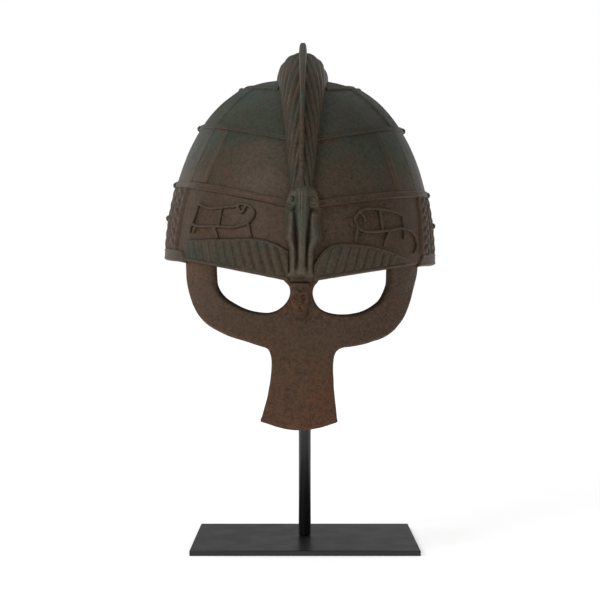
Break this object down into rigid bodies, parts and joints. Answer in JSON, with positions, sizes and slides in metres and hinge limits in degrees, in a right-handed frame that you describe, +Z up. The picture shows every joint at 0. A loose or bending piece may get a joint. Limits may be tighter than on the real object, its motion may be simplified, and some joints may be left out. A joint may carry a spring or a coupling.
{
  "type": "norse iron helmet on a display stand",
  "caption": "Crested iron helmet with a spectacle face guard, raised hoops and a horse-head crest, held up by a post on a flat base plate.",
  "frame": {"origin": "centre of the base plate's underside", "axes": "+Z up, the helmet faces -Y, and right in the node names is +X, as seen from its front"},
  "size_m": [0.2204, 0.2607, 0.4036],
  "materials": {
    "brown_iron": "aged cast iron, dark brown with green patina and fine pits",
    "green_iron": "aged cast iron with a thicker grey-green patina",
    "rusty_iron": "aged cast iron with warm rusty brown patches and a rough, pitted skin",
    "black_paint": "satin black paint"
  },
  "bodies": {
    "root": {"stand_plate": "black_paint", "stand_post": "black_paint", "bowl": "brown_iron", "rim_band": "brown_iron", "crest_mane": "brown_iron", "crest_ridge": "brown_iron", "hoop_lower_left": "brown_iron", "hoop_lower_right": "brown_iron", "hoop_middle_left": "brown_iron", "hoop_middle_right": "brown_iron", "hoop_upper_left": "brown_iron", "hoop_upper_right": "brown_iron", "rib_middle_front_left": "brown_iron", "rib_middle_front_right": "brown_iron", "rib_middle_rear_left": "brown_iron", "rib_middle_rear_right": "brown_iron", "rib_upper_front_left": "brown_iron", "rib_upper_front_right": "brown_iron", "rib_upper_rear_left": "brown_iron", "rib_upper_rear_right": "brown_iron", "ear_band_left": "brown_iron", "ear_band_right": "brown_iron", "horse_head": "green_iron", "brow_left": "green_iron", "brow_right": "green_iron", "beast_left": "green_iron", "beast_right": "green_iron", "face_guard": "rusty_iron", "nasal_face": "rusty_iron"}
  },
  "joints": []
}
